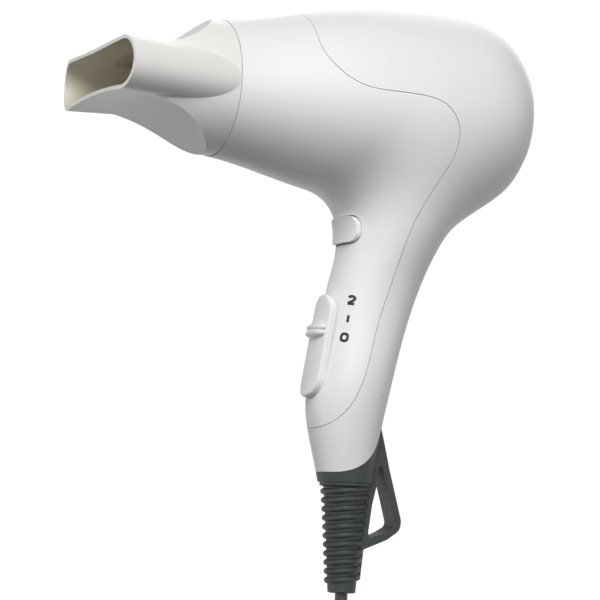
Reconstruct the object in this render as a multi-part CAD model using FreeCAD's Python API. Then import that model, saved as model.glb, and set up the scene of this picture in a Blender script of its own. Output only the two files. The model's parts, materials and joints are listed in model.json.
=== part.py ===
import FreeCAD, Part

# Hand-held hair dryer with a concentrator nozzle, a rear intake grille, a two-speed slider,
# a cool-air button and a cord that leaves the foot of the grip through a ribbed boot.
#
# Frame, in millimetres: +X is the way the air blows, +Z is up and the object is symmetric
# about the XZ plane. The origin is the middle of the grip, where the hand closes on it.

import math
import os

V = FreeCAD.Vector
X_AXIS = V(1, 0, 0)
Y_AXIS = V(0, 1, 0)
Z_AXIS = V(0, 0, 1)

# ---------------------------------------------------------------- driving dimensions
WALL = 2.2                 # moulded wall of the casings
AXIS_Z = 120.0             # height of the barrel axis over the grip's middle
FRONT_X = 72.0             # front edge of the barrel
REAR_X = -72.0             # rearmost point of the hood
OUTLET_R = 29.0            # barrel radius at the front edge
REAR_ROUND = 36.5          # how widely the hood's rear edge is rounded
REAR_DOME_R = 374.0        # radius of the nearly flat rear face
NECK_BLEND = 16.0          # how widely the grip flows into the barrel
GRIP_POWER = 2.1           # 2 is an ellipse, more is squarer

FIT = 0.1                  # gap of a located fit
SLIDE_GAP = 0.3            # gap of a sliding or loose part
BUTTON_GAP = 0.6           # gap round a button in its hole
SEAM = 0.3                 # gap between the casings along their parting line

NOZZLE_LENGTH = 55.6       # barrel edge to the middle of the mouth
MOUTH_HALF_W = 42.5        # half width of the mouth
MOUTH_R = 11.0             # radius of the mouth's rounded ends
MOUTH_PINCH = 1.2          # how far each lip dips in its middle
MOUTH_SWEEP = 3.0          # how far the mouth's ends lie behind its middle
NOZZLE_WALL = 1.5
NOZZLE_STEP = 0.4          # how much smaller the nozzle's collar is than the barrel
COLLAR_LAND = 5.0          # straight part of the collar before the scoops start
SPIGOT_DEPTH = 12.0
SPIGOT_R = 24.5
SNAP_RING_T = 1.9

INTAKE_R = 25.0            # opening in the rear face
GRILLE_RING = 2.0
GRILLE_PITCH = 4.4
GRILLE_RIBS = 8

DUCT_R = 37.0              # inside of the fan duct
DUCT_WALL = 1.3
DUCT_REAR_X = -46.0
DUCT_CONE_X = -8.0
STATOR_VANES = 9
FAN_HUB_R = 13.0
FAN_BLADES = 7
FAN_REAR_X = -44.0
FAN_LENGTH = 13.0
FAN_TIP_GAP = 0.7
MOTOR_R = 14.5
MOTOR_REAR_X = -26.0
MOTOR_LENGTH = 30.0
CAN_WALL = 1.0
SHAFT_R = 1.15
BEARING_R = 3.0
MAGNET_T = 3.2
AIR_GAP = 0.6
HEATER_REAR_X = 11.0
HEATER_LENGTH = 43.0
SLEEVE_R = 25.2
SLEEVE_WALL = 0.6
MICA_T = 0.6
COIL_WIRE_R = 1.2
COIL_PITCH = 7.0
OUTLET_GRILLE_X = 56.0
OUTLET_GRILLE_T = 2.6

SLIDER_HALF_W = 8.6
SLIDER_LENGTH = 45.0
SLIDER_PROUD = 3.2
SLIDER_TRAVEL = 16.0
SLIDER_STEM_R = 2.6
SLIDER_LIFT = 0.6          # gap between the slider's plate and the grip
SLIDER_CURVE_R = 21.0      # the grip's front is nearly round here, and the plate follows it
SLIDER_EDGE_R = 1.0
SLOT_END_GAP = 0.5
KNOB_HEIGHT = 28.8         # along the slider from its foot
KNOB_HALF_W = 8.0
KNOB_R = 2.9
KNOB_LIP_HALF = 2.2
KNOB_PITCH = 2.4           # between the knob's two lips
BUTTON_HALF_W = 12.0
BUTTON_HEIGHT = 11.0
BUTTON_PROUD = 1.9
BUTTON_Z = 65.0
BUTTON_TRAVEL = 2.0
BUTTON_FLANGE = 1.2

CORD_R = 2.7
CORD_LENGTH = 1800.0
BOOT_X = 3.8               # the cord leaves the grip on this line
BOOT_TOP_Z = -43.0
BOOT_END_Z = -90.0
BOOT_TOP_R = 11.2
BOOT_END_R = 7.3
BOOT_RIBS = 11
BOOT_RIB_R = 1.35
BOOT_RIB_PITCH = 3.79
BOOT_RIB_LEAN = 7.0        # degrees that each rib climbs towards the rear
LOOP_WIDTH = 10.0
LOOP_THICK = 3.1

HANK_RUN = 104.0           # outside length of the put-away hank
HANK_WIDTH = 43.2          # across its end folds
HANK_DEPTH = 22.0
HANK_TOP_Z = -152.0
PIN_R = 2.4
PIN_LENGTH = 19.0
PIN_SPACING = 19.0

# The barrel's radius along X, and the grip's front, rear and half width along Z.
BARREL_X = [110.0, FRONT_X, 37.0, 2.0, -33.0, -60.0, -80.0]
BARREL_R = [OUTLET_R, OUTLET_R, 36.0, 42.0, 43.5, 44.0, 44.0]
GRIP_Z = [140.0, 100.0, 75.0, 60.0, 40.0, 15.0, -10.0, -30.0, -46.0, -60.0]
GRIP_FRONT = [10.0, 8.5, 9.5, 9.5, 14.5, 18.7, 22.3, 18.8, 15.2, 13.6]
GRIP_REAR = [-54.5, -48.0, -41.0, -33.0, -25.0, -17.5, -12.0, -8.6, -7.6, -6.4]
WIDTH_Z = [140.0, 75.0, 40.0, 0.0, -46.0, -60.0]
GRIP_HALF_W = [30.0, 30.0, 19.0, 18.5, 11.6, 10.2]

# The line that parts the front casing from the rear casings, seen from the side.
PARTING = [
    (38.5, 142.0), (37.0, 134.5), (31.5, 127.5), (22.0, 121.8), (8.0, 120.0), (-6.0, 119.4),
    (-16.0, 116.5), (-22.3, 108.5), (-23.0, 99.0), (-19.0, 88.0), (-10.5, 68.0), (-5.5, 45.0),
    (1.0, 21.0), (6.5, -1.0), (12.0, -12.5), (19.5, -19.8), (30.0, -22.0),
]
# The white casings end along a quarter circle at the foot of the grip.
FOOT_X = 14.5
FOOT_Z = -17.0
FOOT_R = 22.0


# ---------------------------------------------------------------- curves and the body's formula
def natural_spline(xs, ys):
    """A function through the points with a smoothly changing slope. Outside, it keeps the end value."""
    pairs = sorted(zip(xs, ys))
    x = [p[0] for p in pairs]
    y = [p[1] for p in pairs]
    n = len(x)
    h = [x[i + 1] - x[i] for i in range(n - 1)]
    low = [0.0] * n
    ratio = [0.0] * n
    for i in range(1, n - 1):
        right = (y[i + 1] - y[i]) / h[i]
        left = (y[i] - y[i - 1]) / h[i - 1]
        pivot = 2 * (h[i - 1] + h[i]) - h[i - 1] * ratio[i - 1]
        ratio[i] = h[i] / pivot
        low[i] = (6 * (right - left) - h[i - 1] * low[i - 1]) / pivot
    bend = [0.0] * n
    for i in range(n - 2, 0, -1):
        bend[i] = low[i] - ratio[i] * bend[i + 1]

    def value(t):
        t = min(max(t, x[0]), x[-1])
        i = 0
        while i < n - 2 and t > x[i + 1]:
            i += 1
        a = (x[i + 1] - t) / h[i]
        b = (t - x[i]) / h[i]
        curve = (a ** 3 - a) * bend[i] + (b ** 3 - b) * bend[i + 1]
        return a * y[i] + b * y[i + 1] + curve * h[i] ** 2 / 6

    return value


def smooth_min(a, b, width):
    h = min(max(0.5 + 0.5 * (b - a) / width, 0.0), 1.0)
    return b * (1 - h) + a * h - width * h * (1 - h)


def smooth_max(a, b, width):
    return -smooth_min(-a, -b, width)


barrel_radius = natural_spline(BARREL_X, BARREL_R)
grip_front = natural_spline(GRIP_Z, GRIP_FRONT)
grip_rear = natural_spline(GRIP_Z, GRIP_REAR)
grip_half_width = natural_spline(WIDTH_Z, GRIP_HALF_W)


def barrel_distance(x, y, z):
    """Signed distance, near enough, to the barrel and its rounded rear."""
    rho = math.hypot(y, z - AXIS_Z)
    slope = (barrel_radius(x + 0.5) - barrel_radius(x - 0.5))
    side = (rho - barrel_radius(x)) / math.hypot(1.0, slope)
    dome_x = REAR_X + REAR_DOME_R
    dome = math.hypot(x - dome_x, rho) - REAR_DOME_R if x < dome_x else -50.0
    return smooth_max(side, dome, REAR_ROUND)


def grip_distance(x, y, z):
    """Signed distance, near enough, to the grip, whose sections are rounded ovals."""
    depth = (grip_front(z) - grip_rear(z)) / 2
    width = grip_half_width(z)
    across = abs(x - (grip_front(z) + grip_rear(z)) / 2) / depth
    out = abs(y) / width
    power = GRIP_POWER
    g = (across ** power + out ** power + 1e-12) ** (1 / power)
    gx = across ** (power - 1) * g ** (1 - power) / depth
    gy = out ** (power - 1) * g ** (1 - power) / width
    side = max((g - 1) / (math.hypot(gx, gy) + 1e-6), -60.0)
    return smooth_max(side, z - AXIS_Z - 10.0, 12.0)


def body_distance(x, y, z):
    return smooth_min(barrel_distance(x, y, z), grip_distance(x, y, z), NECK_BLEND)


def reach(centre, direction, level):
    """How far the surface at this level lies from centre along direction."""
    low = 0.0
    high = 10.0
    while body_distance(*(centre + direction * high)) < level:
        low = high
        high += 10.0
    for _ in range(26):
        middle = (low + high) / 2
        if body_distance(*(centre + direction * middle)) < level:
            low = middle
        else:
            high = middle
    return (low + high) / 2


def section_frames(front_x, foot_z):
    """Section planes along the barrel, round the elbow and down the grip: (centre, outward)."""
    pivot = V(34.0, 0, 54.0)
    frames = []
    for x in (front_x, 66.0, 58.0, 50.0, 42.0):
        frames.append((V(x, 0, AXIS_Z), Z_AXIS))
    steps = 18
    for i in range(steps + 1):
        turn = math.pi / 2 * (1 + i / steps)
        outward = V(math.cos(turn), 0, math.sin(turn))
        near = 0.0
        while body_distance(*(pivot + outward * near)) > 0:
            near += 0.5
        far = near + 20.0
        while body_distance(*(pivot + outward * far)) < 0:
            far += 0.5
        frames.append((pivot + outward * ((near + far) / 2), outward))
    z = pivot.z - 7.0
    while z > foot_z + 3.0:
        frames.append((V((grip_front(z) + grip_rear(z)) / 2, 0, z), V(-1, 0, 0)))
        z -= 7.0
    frames.append((V((grip_front(foot_z) + grip_rear(foot_z)) / 2, 0, foot_z), V(-1, 0, 0)))
    return frames


def body_solid(level, front_x, foot_z):
    """The closed solid inside the surface at this level, from the barrel's front to the grip's foot."""
    around = 36
    rings = []
    places = [0.0]
    previous = None
    for centre, outward in section_frames(front_x, foot_z):
        points = []
        for i in range(around):
            a = 2 * math.pi * i / around
            direction = outward * math.cos(a) + Y_AXIS * math.sin(a)
            points.append(centre + direction * reach(centre, direction, level))
        if previous:
            gaps = [p.distanceToPoint(q) for p, q in zip(points, previous)]
            places.append(places[-1] + sum(gaps) / around)
        previous = points
        curve = Part.BSplineCurve()
        steps = [i / around for i in range(around + 1)]
        curve.interpolate(Points=points, PeriodicFlag=True, Parameters=steps)
        rings.append(curve)
    return skinned_solid(rings, places)


def skinned_solid(rings, places):
    """A closed solid whose side runs smoothly through closed curves of the same make."""
    columns = []
    for i in range(rings[0].NbPoles):
        along = Part.BSplineCurve()
        along.interpolate(Points=[ring.getPole(i + 1) for ring in rings], Parameters=places)
        columns.append(along)
    surface = Part.BSplineSurface()
    surface.buildFromPolesMultsKnots(
        [column.getPoles() for column in columns],
        rings[0].getMultiplicities(), columns[0].getMultiplicities(),
        rings[0].getKnots(), columns[0].getKnots(), True, False,
        rings[0].Degree, columns[0].Degree)
    side = surface.toShape()
    ends = [e for e in side.Edges if e.isClosed()]
    caps = [Part.Face(Part.Wire([e])) for e in ends]
    for cap in caps:
        cap.reverse()
    solid = Part.Solid(Part.Shell([side] + caps))
    if solid.Volume < 0:
        solid.reverse()
    return solid


# ---------------------------------------------------------------- small shape helpers
def box(x0, x1, y0, y1, z0, z1):
    return Part.makeBox(x1 - x0, y1 - y0, z1 - z0, V(x0, y0, z0))


def rod(x0, x1, radius, y=0.0, z=AXIS_Z):
    """A cylinder along X."""
    return Part.makeCylinder(radius, x1 - x0, V(x0, y, z), X_AXIS)


def tube(x0, x1, inner, outer):
    return rod(x0, x1, outer).cut(rod(x0 - 1, x1 + 1, inner))


def side_prism(points, half_width):
    """A side outline, given as (x, z), made solid across Y."""
    corners = [V(x, -half_width, z) for x, z in points]
    face = Part.Face(Part.makePolygon(corners + corners[:1]))
    return face.extrude(V(0, 2 * half_width, 0))


def revolve_x(points):
    """An outline of (x, radius) turned about the barrel axis."""
    corners = [V(x, 0, AXIS_Z + r) for x, r in points]
    face = Part.Face(Part.makePolygon(corners + corners[:1]))
    return face.revolve(V(0, 0, AXIS_Z), X_AXIS, 360)


def ring_of(count, shape, start=0.0):
    """Copies of shape, evenly spaced about the barrel axis."""
    copies = []
    for i in range(count):
        copy = shape.copy()
        copy.rotate(V(0, 0, AXIS_Z), X_AXIS, start + 360.0 * i / count)
        copies.append(copy)
    return copies


def pill(half_width, height, corner, x0, x1, z):
    """A rounded block along X whose outline in YZ is a rectangle with round corners."""
    block = box(x0, x1, -half_width, half_width, z - height / 2, z + height / 2)
    edges = [e for e in block.Edges if abs(e.tangentAt(e.FirstParameter).x) > 0.99]
    return block.makeFillet(corner, edges)


def export(name, shape):
    shape = shape.removeSplitter() if shape.ShapeType != "Compound" else shape
    if not shape.isValid():
        shape.fix(0.01, 0.001, 0.1)
    shape.exportStep("parts/" + name + ".step")
    print(name, len(shape.Solids), "solids", round(shape.Volume, 1), shape.isValid())


# ---------------------------------------------------------------- casings
def parting_prism(gap=0.0):
    """Everything in front of the parting line, or of a line that lies a gap behind it."""
    curve = Part.BSplineCurve()
    curve.interpolate([V(x, -90, z) for x, z in PARTING])
    if gap > 0:
        moved = []
        for x, z in PARTING:
            along = curve.tangent(curve.parameter(V(x, -90, z)))[0]
            moved.append(V(x + along.z * gap, -90, z - along.x * gap))
        curve = Part.BSplineCurve()
        curve.interpolate(moved)
    first = curve.StartPoint
    last = curve.EndPoint
    corners = [last, V(150, -90, last.z), V(150, -90, 200), V(first.x, -90, 200), first]
    edges = [curve.toShape()]
    edges += [Part.makeLine(corners[i], corners[i + 1]) for i in range(4)]
    return Part.Face(Part.Wire(edges)).extrude(V(0, 180, 0))


def foot_prism(gap=0.0):
    """Everything below and behind the quarter circle that ends the white casings."""
    r = FOOT_R + gap
    start = V(FOOT_X, -60, FOOT_Z - r)
    half = math.sqrt(0.5) * r
    arc = Part.Arc(start, V(FOOT_X - half, -60, FOOT_Z - half), V(FOOT_X - r, -60, FOOT_Z))
    corners = [V(FOOT_X - r, -60, FOOT_Z), V(-60, -60, FOOT_Z), V(-60, -60, -80), V(60, -60, -80)]
    corners += [V(60, -60, FOOT_Z - r), start]
    edges = [arc.toShape()]
    edges += [Part.makeLine(corners[i], corners[i + 1]) for i in range(5)]
    return Part.Face(Part.Wire(edges)).extrude(V(0, 120, 0))


def screw_places():
    """Where the two casing screws cross the grip: (x, z)."""
    return [(-3.0, -6.0), (-22.0, 66.0)]


def bulkhead(x, inner, outer_solid):
    """A ring inside the casings that holds a round part, cut to the casings' shape."""
    return tube(x, x + 2.0, inner + FIT, 46.0).common(outer_solid)


def slider_frame():
    """Foot point, up direction and outward normal of the flat front that the slider runs on."""
    low = V(grip_front(-8.0), 0, -8.0)
    high = V(grip_front(38.0), 0, 38.0)
    up = (high - low).normalize()
    return low, up, V(up.z, 0, -up.x)


def along_slider(shape):
    """Moves a shape drawn with its foot at the origin, X outward and Z up, onto the slider's track."""
    foot, up, out = slider_frame()
    shape = shape.copy()
    shape.rotate(V(0, 0, 0), Y_AXIS, -math.degrees(math.atan2(-up.x, up.z)))
    shape.translate(foot)
    return shape


def slider_slot():
    """The slot in the grip that the slider's stem runs in. The plate covers it all along the travel."""
    low = SLIDER_LENGTH / 2 - SLIDER_STEM_R - SLOT_END_GAP
    high = SLIDER_LENGTH / 2 + SLIDER_TRAVEL + SLIDER_STEM_R + SLOT_END_GAP
    half = SLIDER_STEM_R + SLIDE_GAP
    return along_slider(box(-WALL * 2.2, 3.0, -half, half, low, high))


def make_casings(outer, inner):
    shell = outer.cut(inner)
    rings = [bulkhead(-31.0, DUCT_R + DUCT_WALL, outer), bulkhead(-12.0, DUCT_R + DUCT_WALL, outer)]
    rings += [bulkhead(14.0, SLEEVE_R + SLEEVE_WALL, outer)]
    rings += [bulkhead(48.0, SLEEVE_R + SLEEVE_WALL, outer)]
    for x, z in screw_places():
        boss = Part.makeCylinder(3.4, 80, V(x, -40, z), Y_AXIS).common(outer)
        rings.append(boss)
    shell = shell.fuse(rings)
    for x, z in screw_places():
        shell = shell.cut(Part.makeCylinder(1.3, 56, V(x, -40, z), Y_AXIS))
        side = -screw_reach(x, z)
        shell = shell.cut(Part.makeCylinder(2.6, 30, V(x, side - 30, z), Y_AXIS))
    shell = shell.cut(rod(REAR_X - 5, -52.0, INTAKE_R))
    shell = shell.cut(foot_prism())
    hole = pill(BUTTON_HALF_W + BUTTON_GAP, BUTTON_HEIGHT + 2 * BUTTON_GAP, 4.8, -2, 30, BUTTON_Z)
    shell = shell.cut(hole)
    shell = shell.cut(slider_slot())
    front_part = parting_prism()
    front = shell.common(front_part)
    rear = shell.cut(parting_prism(SEAM))
    left = rear.common(box(-200, 200, SEAM / 2, 100, -200, 300))
    right = rear.common(box(-200, 200, -100, -SEAM / 2, -200, 300))
    export("front_casing", biggest(front))
    export("rear_casing_left", biggest(left))
    export("rear_casing_right", biggest(right))


def biggest(shape):
    return max(shape.Solids, key=lambda s: s.Volume)


def screw_reach(x, z):
    """How far from the middle plane a casing screw's head sits."""
    return reach(V(x, 0, z), V(0, -1, 0), -0.1) - 4.0


def make_screws():
    screws = []
    for x, z in screw_places():
        side = -screw_reach(x, z)
        head = Part.makeCylinder(2.5, 1.8, V(x, side - 1.8, z), Y_AXIS)
        shank = Part.makeCylinder(1.25, -side + 12.0, V(x, side - 0.5, z), Y_AXIS)
        slot = box(x - 1.6, x + 1.6, side - 2.5, side - 1.1, z - 0.3, z + 0.3)
        screws.append(head.fuse(shank).cut(slot).removeSplitter())
    export("casing_screws", Part.makeCompound(screws))


def make_intake(outer, inner):
    disc = outer.cut(inner).common(rod(REAR_X - 5, -52.0, INTAKE_R - FIT))
    disc = disc.fuse(tube(REAR_X, -60.0, INTAKE_R - 2.2, INTAKE_R - FIT).common(outer))
    slots = []
    radius = 4.0
    while radius + GRILLE_PITCH < INTAKE_R - 1.0:
        slots.append(tube(REAR_X - 5, -60.0, radius, radius + GRILLE_PITCH - GRILLE_RING))
        radius += GRILLE_PITCH
    rib = box(REAR_X - 6, -50, -0.9, 0.9, AXIS_Z, AXIS_Z + 60)
    cutter = slots[0].fuse(slots[1:]).cut(ring_of(GRILLE_RIBS, rib))
    export("intake_grille", biggest(disc.cut(cutter)))
    frame = tube(-62.2, -61.0, INTAKE_R - 4.2, INTAKE_R - 2.2 - FIT)
    wires = []
    offset = -16.0
    while offset <= 16.1:
        span = math.sqrt((INTAKE_R - 3.2) ** 2 - offset ** 2)
        wires.append(box(-61.9, -61.3, offset - 0.3, offset + 0.3, AXIS_Z - span, AXIS_Z + span))
        wires.append(box(-61.9, -61.3, -span, span, AXIS_Z + offset - 0.3, AXIS_Z + offset + 0.3))
        offset += 8.0
    export("intake_filter", frame.fuse(wires))


# ---------------------------------------------------------------- fan and motor
def make_duct():
    cone_end = HEATER_REAR_X - 1.0
    small = SLEEVE_R + SLEEVE_WALL + FIT
    wall = DUCT_WALL
    outline = [(DUCT_REAR_X, DUCT_R), (DUCT_REAR_X, DUCT_R + wall), (DUCT_CONE_X, DUCT_R + wall)]
    outline += [(cone_end, small + wall), (cone_end + 4.0, small + wall), (cone_end + 4.0, small)]
    outline += [(cone_end, small), (DUCT_CONE_X, DUCT_R)]
    shell = revolve_x(outline)
    hub = tube(MOTOR_REAR_X + 1.0, MOTOR_REAR_X + 18.0, MOTOR_R + FIT, MOTOR_R + FIT + 1.4)
    vane = box(MOTOR_REAR_X + 2, MOTOR_REAR_X + 17, -0.7, 0.7, AXIS_Z + MOTOR_R + 1, AXIS_Z + DUCT_R + 0.6)
    vane.rotate(V(MOTOR_REAR_X + 9, 0, AXIS_Z), Z_AXIS, 14)
    export("fan_duct", shell.fuse([hub] + ring_of(STATOR_VANES, vane)))


def fan_blade():
    """A blade whose pitch flattens from hub to tip."""
    wires = []
    tip = DUCT_R - FAN_TIP_GAP
    middle = FAN_REAR_X + FAN_LENGTH / 2 + 1.0
    for radius, pitch, chord in ((FAN_HUB_R - 1.0, 38.0, 12.0), (24.0, 52.0, 15.0), (tip, 62.0, 17.0)):
        a = math.radians(pitch)
        along = V(math.cos(a), math.sin(a), 0) * (chord / 2)
        thick = V(-math.sin(a), math.cos(a), 0) * 0.6
        c = V(middle, 0, AXIS_Z + radius)
        corners = [c - along - thick, c + along - thick, c + along + thick, c - along + thick]
        wires.append(Part.makePolygon(corners + corners[:1]))
    return Part.makeLoft(wires, True, True)


def make_rotor():
    hub = rod(FAN_REAR_X, FAN_REAR_X + FAN_LENGTH, FAN_HUB_R)
    hub = hub.makeFillet(4.0, [hub.Edges[i] for i in range(len(hub.Edges)) if is_rear_rim(hub.Edges[i])])
    hub = hub.cut(rod(FAN_REAR_X + 4.0, FAN_REAR_X + FAN_LENGTH + 1, FAN_HUB_R - 1.6))
    hub = hub.fuse(rod(FAN_REAR_X + 2.0, FAN_REAR_X + FAN_LENGTH, 3.0))
    tip = rod(FAN_REAR_X - 5, FAN_REAR_X + FAN_LENGTH + 6, DUCT_R - FAN_TIP_GAP)
    blades = [b.common(tip) for b in ring_of(FAN_BLADES, fan_blade())]
    core_room = rod(FAN_REAR_X + 4.0, FAN_REAR_X + FAN_LENGTH + 1, FAN_HUB_R - 1.7)
    blades = [b.cut(core_room) for b in blades]
    fan = hub.fuse(blades).cut(rod(FAN_REAR_X + 1.5, FAN_REAR_X + 40, SHAFT_R))
    export("fan", fan)
    front = MOTOR_REAR_X + MOTOR_LENGTH + 3.5
    export("rotor_shaft", rod(FAN_REAR_X + 1.5, front, SHAFT_R))
    core_r = MOTOR_R - CAN_WALL - FIT - MAGNET_T - AIR_GAP
    core = rod(MOTOR_REAR_X + 6, MOTOR_REAR_X + 22, core_r).cut(rod(-60, 60, SHAFT_R))
    slot = box(-60, 60, -1.0, 1.0, AXIS_Z + 4.5, AXIS_Z + 20)
    pocket = rod(-60, 60, 2.2, 0, AXIS_Z + core_r - 3.4)
    core = core.cut(ring_of(3, slot.fuse(pocket)))
    export("armature_core", core)
    ends = [tube(MOTOR_REAR_X + 3.8, MOTOR_REAR_X + 6, 3.4, core_r - 1.4)]
    ends.append(tube(MOTOR_REAR_X + 22, MOTOR_REAR_X + 24.2, 3.4, core_r - 1.4))
    export("armature_windings", Part.makeCompound(ends))
    brush = rod(MOTOR_REAR_X + 24.2, MOTOR_REAR_X + 28.6, 3.5).cut(rod(-60, 60, SHAFT_R))
    bars = [box(-60, 60, -0.15, 0.15, AXIS_Z + 2.9, AXIS_Z + 5)]
    export("commutator", brush.cut(ring_of(6, bars[0])))


def is_rear_rim(edge):
    return abs(edge.CenterOfMass.x - FAN_REAR_X) < 0.01


def make_motor():
    rear = MOTOR_REAR_X
    front = MOTOR_REAR_X + MOTOR_LENGTH
    can = rod(rear, front, MOTOR_R).cut(rod(rear + CAN_WALL, front + 1, MOTOR_R - CAN_WALL))
    can = can.cut(rod(rear - 1, rear + 3, BEARING_R))
    vent = box(rear - 1, rear + 2, -2.0, 2.0, AXIS_Z + 5.5, AXIS_Z + 10.5)
    export("motor_can", can.cut(ring_of(4, vent, 45)))
    outer_r = MOTOR_R - CAN_WALL - FIT
    arc = tube(rear + 4, front - 6, outer_r - MAGNET_T, outer_r)
    gaps = [box(-90, 90, -30, 30, AXIS_Z - 7, AXIS_Z + 7)]
    export("motor_magnets", Part.makeCompound(arc.cut(gaps[0]).Solids))
    cap = rod(front, front + 2.5, MOTOR_R)
    cap = cap.cut(rod(front - 1, front + 4, BEARING_R))
    export("motor_end_cap", cap)
    rear_bearing = rod(rear - 1.5, rear + 2.5, BEARING_R).cut(rod(-60, 60, SHAFT_R + 0.05))
    front_bearing = rod(front - 0.5, front + 2.5, BEARING_R).cut(rod(-60, 60, SHAFT_R + 0.05))
    export("motor_bearings", Part.makeCompound([rear_bearing, front_bearing]))
    brushes = []
    for side in (1, -1):
        low = AXIS_Z + side * 3.8
        high = AXIS_Z + side * 9.0
        brushes.append(box(front - 5.0, front, -1.6, 1.6, min(low, high), max(low, high)))
    export("motor_brushes", Part.makeCompound(brushes))
    board_x = front + 2.5
    board = rod(board_x, board_x + 1.2, MOTOR_R - 0.8).cut(rod(board_x - 1, board_x + 3, BEARING_R + 0.5))
    diodes = [box(board_x + 1.2, board_x + 3.4, -3.0, 3.0, AXIS_Z + 6.0, AXIS_Z + 9.0)]
    export("rectifier_board", board.fuse(ring_of(4, diodes[0], 45)))


# ---------------------------------------------------------------- heater and outlet
def make_heater():
    x0 = HEATER_REAR_X
    x1 = HEATER_REAR_X + HEATER_LENGTH
    export("mica_sleeve", tube(x0 + 0.2, x1 + 1.0, SLEEVE_R, SLEEVE_R + SLEEVE_WALL))
    inner = SLEEVE_R - 0.4 - 2 * COIL_WIRE_R - FIT
    half = MICA_T / 2
    plates = []
    for width, a, b in ((inner, x0, x1), (SLEEVE_R - FIT, x0 + 0.2, x0 + 3), (SLEEVE_R - FIT, x1 - 2, x1)):
        plates.append(box(a, b, -width, width, AXIS_Z - half, AXIS_Z + half))
        plates.append(box(a, b, -half, half, AXIS_Z - width, AXIS_Z + width))
    export("mica_cross", plates[0].fuse(plates[1:]))
    length = HEATER_LENGTH - 12.0
    radius = inner + FIT + COIL_WIRE_R
    helix = Part.makeHelix(COIL_PITCH, length, radius)
    start = V(radius, 0, 0)
    circle = Part.Wire([Part.makeCircle(COIL_WIRE_R, start, V(0, 1, COIL_PITCH / (2 * math.pi * radius)))])
    coil = Part.Wire(helix.Edges).makePipeShell([circle], True, True)
    coil.rotate(V(0, 0, 0), Y_AXIS, 90)
    coil.translate(V(x0 + 6.0, 0, AXIS_Z))
    export("heater_coil", coil)
    export("thermostat", box(x0 + 12, x0 + 24, 3.0, 12.0, AXIS_Z + half, AXIS_Z + half + 5.0))
    fuse_body = rod(x0 + 14, x0 + 24, 1.6, -7.0, AXIS_Z + half + 1.6)
    clip = box(x0 + 17, x0 + 21, -9.2, -4.8, AXIS_Z + half, AXIS_Z + half + 1.0)
    export("thermal_fuse", fuse_body.fuse(clip))
    gx = OUTLET_GRILLE_X
    rim = barrel_radius(gx + OUTLET_GRILLE_T) - WALL - 0.25
    bars = [tube(gx, gx + OUTLET_GRILLE_T, rim - 2.0, rim)]
    for radius in (5.0, 11.5, 18.0):
        bars.append(tube(gx, gx + OUTLET_GRILLE_T, radius - 0.8, radius + 0.8))
    spoke = box(gx, gx + OUTLET_GRILLE_T, -0.8, 0.8, AXIS_Z + 4.6, AXIS_Z + rim - 1.0)
    export("outlet_grille", bars[0].fuse(bars[1:] + ring_of(6, spoke)))


# ---------------------------------------------------------------- nozzle
def mouth_wire(x, half_width, radius, pinch):
    """A flat oval outline whose long sides dip in the middle."""
    end = half_width - radius
    z = AXIS_Z
    edges = []
    for side in (1, -1):
        a = V(x, side * end, z + side * radius)
        b = V(x, side * half_width, z)
        c = V(x, side * end, z - side * radius)
        edges.append(Part.Arc(a, b, c).toShape())
        if pinch > 0:
            dip = V(x, 0, z - side * (radius - pinch))
        else:
            dip = V(x, 0, z - side * radius)
        d = V(x, -side * end, z - side * radius)
        quarter = V(x, side * end / 2, z - side * (radius - 0.72 * pinch))
        other = V(x, -side * end / 2, z - side * (radius - 0.72 * pinch))
        line = Part.BSplineCurve()
        line.interpolate([c, quarter, dip, other, d])
        edges.append(line.toShape())
    return Part.Wire(edges)


def nozzle_solid(inset):
    """The nozzle's outer form, or with an inset the space inside it."""
    start = FRONT_X + SLIDE_GAP
    if inset > 0:
        start += 1.6
    end = FRONT_X + NOZZLE_LENGTH + 4.0
    collar = OUTLET_R - NOZZLE_STEP - inset
    spread = (MOUTH_HALF_W - OUTLET_R + NOZZLE_STEP) / (NOZZLE_LENGTH - MOUTH_SWEEP)
    radius = MOUTH_R - inset
    wide = OUTLET_R - NOZZLE_STEP - inset + spread * (end - FRONT_X)
    first = mouth_wire(start, collar - 0.05 + spread * (start - FRONT_X), radius, MOUTH_PINCH * 0.4)
    slab = Part.makeLoft([first, mouth_wire(end, wide, radius, MOUTH_PINCH)], True, True)
    cylinder = rod(start, FRONT_X + 48.0, collar)
    return slab.fuse(cylinder.common(scoop_room(inset)))


def scoop_room(inset):
    """The space between the two scoops that flatten the nozzle's collar into its mouth."""
    top = OUTLET_R - NOZZLE_STEP - inset
    x = FRONT_X + COLLAR_LAND
    heights = [(x, top + 0.2), (x + 4.4, 25.0 - inset), (x + 9.4, 20.8 - inset)]
    heights += [(x + 16.5, 16.2 - inset), (x + 24.5, 12.9 - inset), (x + 50.0, 9.0 - inset)]
    edges = []
    for side in (1, -1):
        curve = Part.BSplineCurve()
        curve.interpolate([V(a, -60, AXIS_Z + side * h) for a, h in heights])
        edges.append(curve.toShape())
    back = FRONT_X - 4.0
    ends = [V(back, -60, AXIS_Z + side * (top + 0.2)) for side in (1, -1)]
    edges.append(Part.makeLine(V(x, -60, AXIS_Z + top + 0.2), ends[0]))
    edges.append(Part.makeLine(ends[0], ends[1]))
    edges.append(Part.makeLine(ends[1], V(x, -60, AXIS_Z - top - 0.2)))
    tip = x + 50.0
    edges.append(Part.makeLine(V(tip, -60, AXIS_Z + 9.0 - inset), V(tip, -60, AXIS_Z - 9.0 + inset)))
    return Part.Face(Part.Wire(Part.__sortEdges__(edges))).extrude(V(0, 120, 0))


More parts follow.
